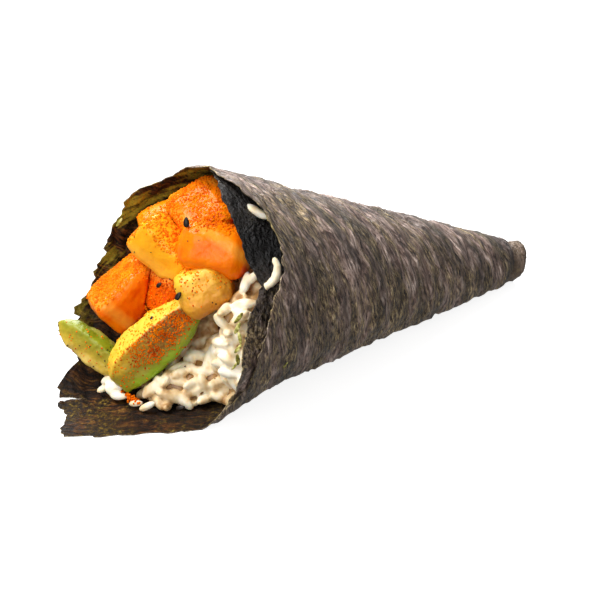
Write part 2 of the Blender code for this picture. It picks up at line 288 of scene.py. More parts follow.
def linear(hex_colour):
    """An sRGB hex colour as linear RGBA."""
    parts = [int(hex_colour[i : i + 2], 16) / 255.0 for i in (1, 3, 5)]
    return (*[p / 12.92 if p <= 0.04045 else ((p + 0.055) / 1.055) ** 2.4 for p in parts], 1.0)


def add_node(tree, kind, inputs=None, stops=(), **settings):
    """Adds a node. inputs holds a value for a socket, or another node's output to link to it."""
    made = tree.nodes.new(kind)
    for name, value in settings.items():
        setattr(made, name, value)
    for i, (place, colour) in enumerate(stops):
        stop = made.color_ramp.elements[i] if i < 2 else made.color_ramp.elements.new(place)
        stop.position = place
        stop.color = linear(colour) if isinstance(colour, str) else (colour, colour, colour, 1.0)
    for name, value in (inputs or {}).items():
        if isinstance(value, bpy.types.NodeSocket):
            tree.links.new(value, made.inputs[name])
        else:
            made.inputs[name].default_value = value
    return made


def new_material(name):
    made = bpy.data.materials.new(name)
    made.use_nodes = True
    made.node_tree.nodes.clear()
    return made, made.node_tree


def roasted_nori(name, smooth, gritty, share, rough, gloss, layer, streak, relief_mm):
    """Pressed and roasted seaweed: smooth streaky patches and gritty ones of matted bits, with tiny hollows between.
    Its colour also holds painted light: shade in the hollows and crease valleys, highlights on the crease ridges, broad
    patches of light and shade, and a darkening that is partly soaked nori and partly painted shade and shadow.
    """
    made, tree = new_material(name)
    spot = add_node(tree, "ShaderNodeUVMap", uv_map=layer).outputs["UV"]
    sway = add_node(tree, "ShaderNodeTexNoise", {"Vector": spot, "Scale": 1 / 9.0, "Detail": 2.0})
    swung = add_node(tree, "ShaderNodeVectorMath", {
        0: sway.outputs["Color"], 1: (9.0, 9.0, 0.0), 2: spot,
    }, operation="MULTIPLY_ADD").outputs[0]
    fine = add_node(tree, "ShaderNodeMapping", {"Vector": swung, "Scale": (1 / streak[0], 1 / streak[1], 1.0)})
    broad = add_node(tree, "ShaderNodeMapping", {
        "Vector": swung, "Scale": (0.35 / streak[0], 0.4 / streak[1], 1.0),
    })
    streaks = add_node(tree, "ShaderNodeTexNoise", {
        "Vector": fine.outputs[0], "Scale": 1.0, "Detail": 3.0, "Roughness": 0.6,
    })
    bands = add_node(tree, "ShaderNodeTexNoise", {"Vector": broad.outputs[0], "Scale": 1.0, "Detail": 3.0})
    creases = add_node(tree, "ShaderNodeMix", {
        0: 0.4, 2: streaks.outputs["Fac"], 3: bands.outputs["Fac"],
    }).outputs[0]
    patches = add_node(tree, "ShaderNodeTexNoise", {
        "Vector": spot, "Scale": 1 / 11.0, "Detail": 5.0, "Roughness": 0.68,
    })
    grit = add_node(tree, "ShaderNodeTexNoise", {"Vector": spot, "Scale": 1 / 1.2, "Detail": 4.0, "Roughness": 0.75})
    # The smooth patches' colour, with painted shade in the crease valleys and painted sheen on the crease ridges.
    crease_shade_and_sheen = add_node(tree, "ShaderNodeValToRGB", {"Fac": creases}, stops=smooth)
    bits = add_node(tree, "ShaderNodeValToRGB", {"Fac": grit.outputs["Fac"]}, stops=gritty)
    more = add_node(tree, "ShaderNodeAttribute", attribute_name="grit")
    grittier = add_node(tree, "ShaderNodeMath", {0: patches.outputs["Fac"], 1: more.outputs["Fac"]})
    coarse = add_node(tree, "ShaderNodeMapRange", {
        "Value": grittier.outputs[0], "From Min": share[0], "From Max": share[1], "To Min": 0.0, "To Max": 1.0,
    })
    base = add_node(tree, "ShaderNodeMix", {
        0: coarse.outputs[0], 6: crease_shade_and_sheen.outputs["Color"], 7: bits.outputs["Color"],
    }, data_type="RGBA")
    # Painted shade in the pits: the colour darkens where the relief is lowest.
    pit_shade = add_node(tree, "ShaderNodeMapRange", {
        "Value": grit.outputs["Fac"], "From Min": 0.35, "From Max": 0.45, "To Min": 0.2, "To Max": 1.0,
    })
    pit_shaded = add_node(tree, "ShaderNodeMix", {
        0: 1.0, 6: base.outputs[2], 7: pit_shade.outputs[0],
    }, data_type="RGBA", blend_type="MULTIPLY")
    # Painted light and shade in broad zones, standing in for the shading of the sheet's folds.
    light_zones = add_node(tree, "ShaderNodeTexNoise", {"Vector": spot, "Scale": 1 / LIGHT_ZONES, "Detail": 4.0, "Roughness": 0.6})
    level = add_node(tree, "ShaderNodeMapRange", {
        "Value": light_zones.outputs["Fac"], "From Min": 0.38, "From Max": 0.62, "To Min": 0.85, "To Max": 2.6,
    })
    light_zoned = add_node(tree, "ShaderNodeVectorMath", {0: pit_shaded.outputs[2], "Scale": level.outputs[0]}, operation="SCALE")
    bare = add_node(tree, "ShaderNodeAttribute", attribute_name="bare")
    browned = add_node(tree, "ShaderNodeMath", {0: bare.outputs["Fac"], 1: 0.6}, operation="MULTIPLY")
    tipped = add_node(tree, "ShaderNodeMix", {
        0: browned.outputs[0], 6: light_zoned.outputs[0], 7: linear("#7d664c"),
    }, data_type="RGBA")
    # Darkening towards near black: partly soaked nori, partly painted shade and painted shadow.
    damp = add_node(tree, "ShaderNodeAttribute", attribute_name="damp")
    soaked_and_shaded = add_node(tree, "ShaderNodeMix", {
        0: damp.outputs["Fac"], 6: tipped.outputs[2], 7: linear("#080403"),
    }, data_type="RGBA")
    roughness = add_node(tree, "ShaderNodeMapRange", {
        "Value": grit.outputs["Fac"], "From Min": 0.35, "From Max": 0.65, "To Min": rough[0], "To Max": rough[1],
    })
    relief = add_node(tree, "ShaderNodeMath", {0: grit.outputs["Fac"], 1: 0.45, 2: creases}, operation="MULTIPLY_ADD")
    bumps = add_node(tree, "ShaderNodeBump", {
        "Height": relief.outputs[0], "Strength": 1.0, "Distance": relief_mm * MM,
    })
    shader = add_node(tree, "ShaderNodeBsdfPrincipled", {
        "Base Color": soaked_and_shaded.outputs[2], "Roughness": roughness.outputs[0], "Normal": bumps.outputs[0],
        "Specular IOR Level": gloss,
    })
    return made, tree, shader, patches


nori_out, tree, shader, _ = roasted_nori(
    "roasted_nori_smooth_side",
    ((0.37, "#271b17"), (0.45, "#4f3e37"), (0.50, "#725d54"), (0.56, "#937e74"), (0.66, "#c9b6ab")),
    ((0.36, "#0f0906"), (0.44, "#33271b"), (0.52, "#65543f"), (0.6, "#95825f"), (0.7, "#d0bd97")),
    (0.46, 0.58), (0.3, 0.55), 0.55, "wound", (1.3, 2.0), 3.0,
)
add_node(tree, "ShaderNodeOutputMaterial", {"Surface": shader.outputs[0]})

nori_in, tree, shader, patches = roasted_nori(
    "roasted_nori_rough_side",
    ((0.40, "#050201"), (0.46, "#170a03"), (0.52, "#2c1707"), (0.58, "#46290d"), (0.66, "#72501f")),
    ((0.37, "#050201"), (0.46, "#190f03"), (0.54, "#30220a"), (0.62, "#524114"), (0.7, "#7a6a30")),
    (0.46, 0.56), (0.5, 0.8), 0.2, "flat", (2.6, 0.7), 1.0,
)
# Painted light shining through the far wall from behind: yellow-green streaks and patches where the wall is thin.
backlit_here = add_node(tree, "ShaderNodeAttribute", attribute_name="thin")
along_it = add_node(tree, "ShaderNodeUVMap", uv_map="wound").outputs["UV"]
drawn_out = add_node(tree, "ShaderNodeMapping", {"Vector": along_it, "Scale": (1 / 6.0, 1 / 1.4, 1.0)})
veins = add_node(tree, "ShaderNodeTexNoise", {"Vector": drawn_out.outputs[0], "Scale": 1.0, "Detail": 3.0})
veined = add_node(tree, "ShaderNodeMath", {
    0: veins.outputs["Fac"], 1: 0.6, 2: patches.outputs["Fac"],
}, operation="MULTIPLY_ADD")
thin = add_node(tree, "ShaderNodeMapRange", {
    "Value": veined.outputs[0], "From Min": 0.79, "From Max": 0.93, "To Min": 0.0, "To Max": 0.9,
})
backlight_share = add_node(tree, "ShaderNodeMath", {0: thin.outputs[0], 1: backlit_here.outputs["Fac"]}, operation="MULTIPLY")
painted_backlight = add_node(tree, "ShaderNodeMix", {
    0: backlight_share.outputs[0], 6: shader.inputs["Base Color"].links[0].from_socket, 7: linear("#a8962a"),
}, data_type="RGBA")
tree.links.new(painted_backlight.outputs[2], shader.inputs["Base Color"])
add_node(tree, "ShaderNodeOutputMaterial", {"Surface": shader.outputs[0]})

nori_edge, tree, shader, _ = roasted_nori(
    "roasted_nori_torn_edge",
    ((0.40, "#241c17"), (0.46, "#453a31"), (0.52, "#6b5d4c"), (0.60, "#9a8b70")),
    ((0.37, "#17110b"), (0.47, "#453a26"), (0.56, "#6d5e3a"), (0.7, "#a3925c")),
    (0.45, 0.6), (0.5, 0.7), 0.4, "wound", (1.2, 1.2), 0.3,
)
add_node(tree, "ShaderNodeOutputMaterial", {"Surface": shader.outputs[0]})

sheet = make_sheet()
cut_slit(sheet)
for finish in (nori_out, nori_in, nori_edge):
    sheet.data.materials.append(finish)
wall = sheet.modifiers.new("thickness", "SOLIDIFY")
wall.thickness = SHEET_THICKNESS * MM
wall.offset = -1.0
wall.material_offset = 1
wall.material_offset_rim = 2
baked(sheet)
sheet.data.shade_smooth()
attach(sheet, "root")
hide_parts("nori_wrap")


# ---------------------------------------------------------------------------------------------------------------
# The salmon: raw fillet cut by knife into cubes and short slabs, six pieces that lie against each other at the
# mouth. Each starts as its frame piece, meshed evenly, swollen to touch its neighbours and made uneven as cut
# flesh is: flat faces with soft edges, faint pale lines of fat, wet and slightly see-through.
FLESH_VOXEL = 0.36
FLESH_SWELL = 0.16
FLESH_LUMPS = ((4.0, 0.28), (1.3, 0.09))  # (size, height)
ROUNDED, ROUNDING = "salmon_piece_right", 22  # the piece whose cut edges have slumped, and how much
FAT_LINES = 13.0  # between its pale lines
# How deep its colour is, from 0, a pale yellow-orange, to 1, a deep red.
SALMON_TONES = {
    "salmon_cube_mouth": 0.5, "salmon_slab_middle": 0.05, "salmon_piece_right": 0.5,
    "salmon_piece_top": 0.5, "salmon_piece_back": 0.4, "salmon_piece_inner": 0.7,
}
SHADE_REDDENS, SHADED_SIDES_FACE = 0.3, (0.6, -0.2, -0.75)  # how much painted shade deepens the colour on the sides that face this way, away from the light


def flesh(name, node, voxel, swell, lumps, softened=4):
    """A frame piece's shape, meshed evenly, swollen, and made uneven by lumps of (size, height) in millimetres."""
    thing = link(name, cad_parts[node].data.copy())
    shape = bmesh.new()
    shape.from_mesh(thing.data)
    bmesh.ops.remove_doubles(shape, verts=shape.verts, dist=1e-6)
    shape.to_mesh(thing.data)
    shape.free()
    even = thing.modifiers.new("even", "REMESH")
    even.mode = "VOXEL"
    even.voxel_size = voxel * MM
    softer = thing.modifiers.new("softer", "SMOOTH")
    softer.factor = 0.5
    softer.iterations = softened
    baked(thing)
    mesh = thing.data
    normals = [v.normal.copy() for v in mesh.vertices]
    for v, normal in zip(mesh.vertices, normals):
        height = swell + sum(high * noise.noise(v.co / (size * MM)) for size, high in lumps)
        v.co += normal * height * MM
    mesh.materials.clear()
    mesh.shade_smooth()
    return thing


def direction(near, up, out):
    return (NEAR * near + UP * up + OUT * out).normalized()


def place(near, up, out):
    return apex + NEAR * near + UP * up + OUT * out


def salmon_flesh():
    """Raw salmon: orange that light sinks into, pale to deep red by the attribute "tone", and a wet surface. The
    attribute also carries painted shade on the sides that face away from the light.
    """
    made, tree = new_material("raw_salmon")
    spot = add_node(tree, "ShaderNodeTexCoord").outputs["Object"]
    tone = add_node(tree, "ShaderNodeAttribute", attribute_name="tone")
    cloud = add_node(tree, "ShaderNodeTexNoise", {"Vector": spot, "Scale": 1 / (4 * MM), "Detail": 4.0})
    uneven = add_node(tree, "ShaderNodeMath", {
        0: cloud.outputs["Fac"], 1: 0.5, 2: tone.outputs["Fac"],
    }, operation="MULTIPLY_ADD")
    shifted = add_node(tree, "ShaderNodeMath", {0: uneven.outputs[0], 1: 0.25}, operation="SUBTRACT")
    hue = add_node(tree, "ShaderNodeValToRGB", {"Fac": shifted.outputs[0]}, stops=(
        (0.0, "#ffb01c"), (0.3, "#fd9208"), (0.55, "#f87203"), (0.78, "#e44a02"), (1.0, "#a82200"),
    ))
    lean = add_node(tree, "ShaderNodeMapping", {"Vector": spot, "Rotation": (0.5, 0.7, 0.3)})
    fat = add_node(tree, "ShaderNodeTexWave", {
        "Vector": lean.outputs[0], "Scale": math.pi / 10 / (FAT_LINES * MM), "Distortion": 1.5, "Detail": 1.0,
    })
    fatty = add_node(tree, "ShaderNodeMapRange", {
        "Value": fat.outputs["Fac"], "From Min": 0.82, "From Max": 1.0, "To Min": 0.0, "To Max": 0.5,
    })
    striped = add_node(tree, "ShaderNodeMix", {
        0: fatty.outputs[0], 6: hue.outputs["Color"], 7: linear("#f6ae3e"),
    }, data_type="RGBA")
    fine = add_node(tree, "ShaderNodeTexNoise", {"Vector": spot, "Scale": 1 / (0.9 * MM), "Detail": 2.0})
    bumps = add_node(tree, "ShaderNodeBump", {"Height": fine.outputs["Fac"], "Strength": 0.4, "Distance": 0.3 * MM})
    shader = add_node(tree, "ShaderNodeBsdfPrincipled", {
        "Base Color": striped.outputs[2], "Roughness": 0.2, "Normal": bumps.outputs[0], "Specular IOR Level": 0.16,
        "Subsurface Weight": 0.25, "Subsurface Radius": (1.0, 0.45, 0.12), "Subsurface Scale": 1.6 * MM,
    })
    add_node(tree, "ShaderNodeOutputMaterial", {"Surface": shader.outputs[0]})
    return made


salmon_finish = salmon_flesh()
salmon = {}
for node, tone in SALMON_TONES.items():
    soft = ROUNDING if node == ROUNDED else 4
    swell = FLESH_SWELL + (0.35 if node == ROUNDED else 0.0)
    piece = flesh(node.replace("salmon", "salmon_flesh"), node, FLESH_VOXEL, swell, FLESH_LUMPS, soft)
    shaded_side = direction(*SHADED_SIDES_FACE)
    values = [tone + SHADE_REDDENS * ramp(v.normal.dot(shaded_side), 0.2, 0.9) for v in piece.data.vertices]
    piece.data.attributes.new("tone", "FLOAT", "POINT").data.foreach_set("value", values)
    piece.data.materials.append(salmon_finish)
    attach(piece, "root")
    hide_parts(node)
    salmon[node] = piece


# ---------------------------------------------------------------------------------------------------------------
# The avocado: a ripe half cut into slices, and one chunk. The flesh is butter yellow where the stone was and turns
# green towards the peeled skin, which an attribute carries over each slice: 0 at the stone, 1 at the skin. On the
# chunk that attribute carries painted shade instead, from its lit side at 0 to its shaded side at 1.
# name of node: (middle of the stone side, direction of its length, direction of its skin, depth)
AVOCADO_SLICES = {
    "avocado_slice_middle": ((-4.8, -12.9, 132.1), (0.385, 0.81, -0.44), (0.15, -0.56, -0.815), 12.0),
    "avocado_slice_mouth": ((-16.6, -24.1, 136.2), (0.80, -0.38, -0.48), (0.0, 0.9, -0.4), 7.5),
    # The chunk has no skin here: its direction of skin is the way its painted shade deepens.
    "avocado_chunk": ((3.8, 0.8, 120.2), (0.5, 0.6, -0.6), (0.62, -0.45, -0.6), 24.0),
}
AVOCADO_LUMPS = ((3.0, 0.42), (0.9, 0.14))
SLICE_CURLS, CURLS_FROM, CURLS_OVER = 2.6, -6.0, 8.0  # how far the middle slice's lower end curls in, and from where
SPICED_TOWARDS = (0.906, -0.248, 0.337)  # the way the spiced faces look
SPICE_ENDS = (0.42, 0.68)  # how far towards the skin the spice thins out on the middle slice
# How much spice stains each piece, and from where to where along its length that sets in.
SPICE = {
    "avocado_slice_middle": (0.95, -8.0, 6.0),
    "avocado_slice_mouth": (0.12, -40.0, -30.0),
    "avocado_chunk": (0.4, -1.0, 6.0),
}


def avocado_flesh(name, stops):
    """Ripe avocado: buttery, dull and slightly see-through, its colour following an attribute from stone to skin,
    which on the chunk carries painted shade instead.
    """
    made, tree = new_material(name)
    spot = add_node(tree, "ShaderNodeTexCoord").outputs["Object"]
    rind_and_shade = add_node(tree, "ShaderNodeAttribute", attribute_name="rind_and_shade")
    cloud = add_node(tree, "ShaderNodeTexNoise", {"Vector": spot, "Scale": 1 / (2.5 * MM), "Detail": 4.0})
    moved = add_node(tree, "ShaderNodeMath", {
        0: cloud.outputs["Fac"], 1: 0.5, 2: rind_and_shade.outputs["Fac"],
    }, operation="MULTIPLY_ADD")
    shifted = add_node(tree, "ShaderNodeMath", {0: moved.outputs[0], 1: 0.25}, operation="SUBTRACT")
    tone = add_node(tree, "ShaderNodeValToRGB", {"Fac": shifted.outputs[0]}, stops=stops)
    spice = add_node(tree, "ShaderNodeAttribute", attribute_name="spice")
    fine = add_node(tree, "ShaderNodeTexNoise", {"Vector": spot, "Scale": 1 / (0.7 * MM), "Detail": 3.0})
    grainy = add_node(tree, "ShaderNodeMapRange", {
        "Value": fine.outputs["Fac"], "From Min": 0.3, "From Max": 0.7, "To Min": 1.2, "To Max": 0.5,
    })
    stain = add_node(tree, "ShaderNodeMath", {
        0: spice.outputs["Fac"], 1: grainy.outputs[0],
    }, operation="MULTIPLY", use_clamp=True)
    stained = add_node(tree, "ShaderNodeMix", {
        0: stain.outputs[0], 6: tone.outputs["Color"], 7: linear("#8f4a0a"),
    }, data_type="RGBA")
    bumps = add_node(tree, "ShaderNodeBump", {"Height": fine.outputs["Fac"], "Strength": 0.5, "Distance": 0.25 * MM})
    shader = add_node(tree, "ShaderNodeBsdfPrincipled", {
        "Base Color": stained.outputs[2], "Roughness": 0.42, "Normal": bumps.outputs[0],
        "Subsurface Weight": 0.25, "Subsurface Radius": (1.0, 0.8, 0.2), "Subsurface Scale": 1.2 * MM,
    })
    add_node(tree, "ShaderNodeOutputMaterial", {"Surface": shader.outputs[0]})
    return made


avocado_finishes = {
    "avocado_slice_middle": avocado_flesh("ripe_avocado_slice", (
        (0.0, "#f5c63a"), (0.16, "#e6b730"), (0.34, "#b99f32"), (0.56, "#a39a2c"), (0.7, "#94a81a"), (0.9, "#8cb410"),
        (1.0, "#a6b63c"),
    )),
    "avocado_slice_mouth": avocado_flesh("ripe_avocado_end_slice", (
        (0.0, "#d8ba5e"), (0.22, "#c6a62e"), (0.45, "#a8981a"), (0.75, "#8a9412"), (0.95, "#748612"), (1.0, "#999a3e"),
    )),
    # The chunk's colours are painted light and shade: yellow on its lit side, brown on its shaded side.
    "avocado_chunk": avocado_flesh("ripe_avocado_chunk", (
        (0.2, "#fcc830"), (0.45, "#efad28"), (0.7, "#d4861a"), (0.95, "#a05c0e"),
    )),
}
avocado = {}
for node, (middle, along, skin, depth) in AVOCADO_SLICES.items():
    piece = flesh(node.replace("avocado", "avocado_flesh"), node, FLESH_VOXEL, FLESH_SWELL, AVOCADO_LUMPS)
    length = direction(*along)
    outward = direction(*skin)
    outward = (outward - length * outward.dot(length)).normalized()
    rind_and_shade = piece.data.attributes.new("rind_and_shade", "FLOAT", "POINT")
    start = place(*middle)
    if node == "avocado_chunk":
        start = start - outward * depth / 2.0
    if node == "avocado_slice_middle":
        for v in piece.data.vertices:
            past = max(CURLS_FROM - (v.co / MM - start).dot(length), 0.0) / CURLS_OVER
            v.co += direction(0.594, 0.171, -0.786) * SLICE_CURLS * past**2 * MM
    values = [(v.co / MM - start).dot(outward) / depth for v in piece.data.vertices]
    rind_and_shade.data.foreach_set("value", values)
    towards = direction(*SPICED_TOWARDS)
    ends = SPICE_ENDS if node == "avocado_slice_middle" else (1.0, 1.5)
    values = [
        SPICE[node][0]
        * ramp(v.normal.dot(towards), 0.35, 0.8)
        * ramp((v.co / MM - start).dot(length), *SPICE[node][1:])
        * (1.0 - ramp((v.co / MM - start).dot(outward) / depth, *ends))
        for v in piece.data.vertices
    ]
    piece.data.attributes.new("spice", "FLOAT", "POINT").data.foreach_set("value", values)
    piece.data.materials.append(avocado_finishes[node])
    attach(piece, "root")
    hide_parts(node)
    avocado[node] = piece


# ---------------------------------------------------------------------------------------------------------------
# The rice: short-grained sushi rice, cooked until it sticks, pressed into the cone and heaped towards the viewer
# at the mouth. A core with relief stands a little inside the heap's outline, and whole grains lie on it.
RICE_SHRINK = 1.1
RICE_RELIEF = ((2.4, 0.8), (1.2, 0.25))
GRAIN_SIZE = (2.8, 2.35, 6.4)  # width, thickness, length
GRAIN_SPACING = 2.05
GRAIN_VOXEL = 0.3  # of the mesh that joins them where they stick together
CREVICE_SHADE, CREVICE_SHADE_TO = 0.15, (0.4, 1.9)  # how much painted shade darkens the grains low down between each other
GRAIN_FROM = 103.0  # grains start this far out along the axis
GRAIN_FACES = 0.5  # the share of the joined mesh's faces that is kept
# How bright its grains are painted at each height of the heap: painted shade under the salmon, painted light below
# that, and painted shade lowest, where they turn tan.
HEAP_LIGHT_AND_SHADE = ((-30.0, 0.0), (-24.0, 0.25), (-18.0, 0.75), (-10.0, 0.95), (-5.5, 0.4), (-2.0, 0.0), (0.0, 0.0))
DEEP = (112.0, 117.5)  # how far in its grains lie in shade
# Grains that lie apart from the heap: (place, way its length runs, way its broad side looks, size, longer by)
LOOSE_GRAINS = (
    ((10.6, 21.7, 114.5), (0.71, -0.28, -0.64), (0.6, 0.77, 0.0), 0.85, 1.2),
    ((19.5, 12.7, 113.9), (0.5, -0.8, -0.2), (0.8, 0.55, 0.2), 0.6, 0.7),
    ((20.3, 11.4, 113.7), (0.3, -0.9, -0.1), (0.8, 0.55, 0.2), 0.72, 0.7),
    ((20.7, 10.0, 114.0), (0.1, -0.95, 0.2), (0.8, 0.55, 0.2), 0.8, 0.7),
    ((20.6, 8.5, 114.9), (-0.2, -0.8, 0.55), (0.8, 0.55, 0.2), 0.74, 0.7),
    ((20.1, 7.3, 116.1), (-0.3, -0.7, 0.7), (0.8, 0.55, 0.2), 0.62, 0.7),
    ((11.5, 4.8, 115.0), (-0.2, 0.93, -0.3), (0.7, 0.3, 0.64), 0.85, 1.0),
    ((12.6, 6.6, 113.8), (0.25, 0.9, -0.35), (0.7, 0.3, 0.64), 0.7, 1.0),
    ((14.6, 0.9, 116.6), (0.62, 0.3, -0.72), (0.6, 0.4, 0.6), 0.9, 1.1),
    ((15.6, -1.2, 117.2), (0.7, -0.1, -0.7), (0.5, 0.5, 0.65), 0.85, 1.1),
    ((-10.5, -26.3, 133.0), (0.5, 0.75, -0.4), (0.7, 0.3, 0.64), 0.7, 1.0),
    ((-8.2, -27.3, 132.6), (0.8, 0.0, -0.6), (0.5, 0.5, 0.64), 0.75, 1.05),
    ((-7.4, -25.6, 131.8), (0.2, 0.9, -0.3), (0.7, 0.3, 0.64), 0.7, 1.0),
    ((-8.1, -28.9, 133.0), (0.6, -0.5, -0.6), (0.6, 0.5, 0.6), 0.7, 1.05),
    ((-11.0, -28.8, 133.2), (0.3, 0.7, -0.6), (0.6, 0.5, 0.6), 0.66, 1.0),
    ((-6.3, -29.2, 132.2), (0.75, 0.2, -0.6), (0.6, 0.5, 0.6), 0.7, 1.0),
    ((-1.2, -29.0, 130.8), (0.7, 0.3, -0.6), (0.6, 0.5, 0.6), 0.6, 0.9),
    ((1.7, -28.6, 129.6), (0.5, 0.6, -0.6), (0.6, 0.5, 0.6), 0.66, 1.0),
)


def rice_flesh(name, colours, inner):
    """Cooked rice: milky grains that glow where thin, each its own shade of cream plus painted light and shade, moist
    all over.
    """
    made, tree = new_material(name)
    spot = add_node(tree, "ShaderNodeTexCoord").outputs["Object"]
    shade = add_node(tree, "ShaderNodeAttribute", attribute_name="shade")
    cloud = add_node(tree, "ShaderNodeTexNoise", {"Vector": spot, "Scale": 1 / (3 * MM), "Detail": 2.0})
    mixed = add_node(tree, "ShaderNodeMath", {
        0: shade.outputs["Fac"], 1: 0.5, 2: cloud.outputs["Fac"],
    }, operation="MULTIPLY_ADD")
    tone = add_node(tree, "ShaderNodeValToRGB", {"Fac": mixed.outputs[0]}, stops=colours)
    fine = add_node(tree, "ShaderNodeTexNoise", {"Vector": spot, "Scale": 1 / (1.2 * MM), "Detail": 2.0})
    bumps = add_node(tree, "ShaderNodeBump", {"Height": fine.outputs["Fac"], "Strength": 0.35, "Distance": 0.3 * MM})
    shader = add_node(tree, "ShaderNodeBsdfPrincipled", {
        "Base Color": tone.outputs["Color"], "Roughness": 0.36, "Normal": bumps.outputs[0],
        "Subsurface Weight": inner, "Subsurface Radius": (1.0, 0.72, 0.42), "Subsurface Scale": 0.8 * MM,
    })
    add_node(tree, "ShaderNodeOutputMaterial", {"Surface": shader.outputs[0]})
    return made


def tree_of(mesh_object):
    """A search tree over a piece's surface."""
    mesh = mesh_object.data
    return BVHTree.FromPolygons([v.co for v in mesh.vertices], [tuple(p.vertices) for p in mesh.polygons])


def sample_surface(mesh, count, rng):
    """Random points spread evenly over a mesh: (point, normal) pairs."""
    mesh.calc_loop_triangles()
    corners = np.array([t.vertices for t in mesh.loop_triangles])
    points = np.array([v.co for v in mesh.vertices])
    a, b, c = points[corners[:, 0]], points[corners[:, 1]], points[corners[:, 2]]
    crossed = np.cross(b - a, c - a)
    area = np.linalg.norm(crossed, axis=1)
    chosen = rng.choice(len(area), count, p=area / area.sum())
    u, v = rng.random(count), rng.random(count)
    over = u + v > 1.0
    u[over], v[over] = 1.0 - u[over], 1.0 - v[over]
    spots = a[chosen] + (b - a)[chosen] * u[:, None] + (c - a)[chosen] * v[:, None]
    normals = crossed[chosen] / area[chosen, None]
    return [(Vector(s), Vector(n)) for s, n in zip(spots, normals)]


def spread_out(spots, spacing):
    """Those spots that keep their distance from the ones before them."""
    kept, cells = [], {}
    for spot in spots:
        cell = tuple(int(math.floor(x / spacing)) for x in spot[0])
        close = [
            other
            for dx in (-1, 0, 1)
            for dy in (-1, 0, 1)
            for dz in (-1, 0, 1)
            for other in cells.get((cell[0] + dx, cell[1] + dy, cell[2] + dz), ())
        ]
        if all((spot[0] - other).length > spacing for other in close):
            kept.append(spot)
            cells.setdefault(cell, []).append(spot[0])
    return kept


def facing(along, normal):
    """Turns a grain's Z along a direction and its Y as near to a normal as that allows."""
    along = along.normalized()
    outward = (normal - along * normal.dot(along)).normalized()
    return Matrix((outward.cross(along), outward, along)).transposed()


def grains_tree():
    """Geometry nodes that put an uneven rounded grain on each point, turned and sized by the point's attributes."""
    tree = bpy.data.node_groups.new("grains_on_points", "GeometryNodeTree")
    sockets = {}
    for name, kind, start in (
        ("Points", "NodeSocketGeometry", None), ("Width", "NodeSocketFloat", 1.0), ("Thickness", "NodeSocketFloat", 1.0),
        ("Length", "NodeSocketFloat", 1.0), ("Sides", "NodeSocketInt", 8), ("Rings", "NodeSocketInt", 6),
        ("Bend", "NodeSocketFloat", 0.0), ("Taper", "NodeSocketFloat", 0.0), ("Unevenness", "NodeSocketFloat", 0.0),
        ("Lump Size", "NodeSocketFloat", 1.0), ("Finish", "NodeSocketMaterial", None),
    ):
        made = tree.interface.new_socket(name, in_out="INPUT", socket_type=kind)
        if start is not None:
            made.default_value = start
        sockets[name] = made.identifier
    tree.interface.new_socket("Grains", in_out="OUTPUT", socket_type="NodeSocketGeometry")
    given = add_node(tree, "NodeGroupInput").outputs
    ball = add_node(tree, "GeometryNodeMeshUVSphere", {
        "Segments": given["Sides"], "Rings": given["Rings"], "Radius": 0.5,
    })
    at = add_node(tree, "ShaderNodeSeparateXYZ", {0: add_node(tree, "GeometryNodeInputPosition").outputs[0]})
    squared = add_node(tree, "ShaderNodeMath", {0: at.outputs["Z"], 1: at.outputs["Z"]}, operation="MULTIPLY")
    bent = add_node(tree, "ShaderNodeMath", {0: squared.outputs[0], 1: given["Bend"]}, operation="MULTIPLY")
    narrow = add_node(tree, "ShaderNodeMath", {0: at.outputs["Z"], 1: given["Taper"]}, operation="MULTIPLY")
    narrowed = add_node(tree, "ShaderNodeMath", {0: narrow.outputs[0], 1: at.outputs["X"]}, operation="MULTIPLY")
    aside = add_node(tree, "ShaderNodeMath", {0: bent.outputs[0], 1: narrowed.outputs[0]}, operation="SUBTRACT")
    offset = add_node(tree, "ShaderNodeCombineXYZ", {"X": aside.outputs[0]})
    shaped = add_node(tree, "GeometryNodeSetPosition", {
        "Geometry": ball.outputs["Mesh"], "Offset": offset.outputs[0],
    })
    size = add_node(tree, "ShaderNodeCombineXYZ", {
        "X": given["Width"], "Y": given["Thickness"], "Z": given["Length"],
    })
    sized = add_node(tree, "GeometryNodeTransform", {"Geometry": shaped.outputs[0], "Scale": size.outputs[0]})
    turned = add_node(tree, "GeometryNodeInputNamedAttribute", {"Name": "turned"}, data_type="FLOAT_VECTOR")
    grown = add_node(tree, "GeometryNodeInputNamedAttribute", {"Name": "grown"}, data_type="FLOAT_VECTOR")
    laid = add_node(tree, "GeometryNodeInstanceOnPoints", {
        "Points": given["Points"], "Instance": sized.outputs[0],
        "Rotation": turned.outputs[0], "Scale": grown.outputs[0],
    })
    real = add_node(tree, "GeometryNodeRealizeInstances", {"Geometry": laid.outputs[0]})
    pitch = add_node(tree, "ShaderNodeMath", {0: 1.0, 1: given["Lump Size"]}, operation="DIVIDE")
    lumps = add_node(tree, "ShaderNodeTexNoise", {"Scale": pitch.outputs[0], "Detail": 1.0})
    centred = add_node(tree, "ShaderNodeVectorMath", {0: lumps.outputs["Color"], 1: (0.5, 0.5, 0.5)}, operation="SUBTRACT")
    pushed = add_node(tree, "ShaderNodeVectorMath", {0: centred.outputs[0], "Scale": given["Unevenness"]}, operation="SCALE")
    uneven = add_node(tree, "GeometryNodeSetPosition", {"Geometry": real.outputs[0], "Offset": pushed.outputs[0]})
    smooth = add_node(tree, "GeometryNodeSetShadeSmooth", {"Geometry": uneven.outputs[0]})
    finished = add_node(tree, "GeometryNodeSetMaterial", {
        "Geometry": smooth.outputs[0], "Material": given["Finish"],
    })
    add_node(tree, "NodeGroupOutput", {0: finished.outputs[0]})
    return tree, sockets


grains, grain_sockets = grains_tree()


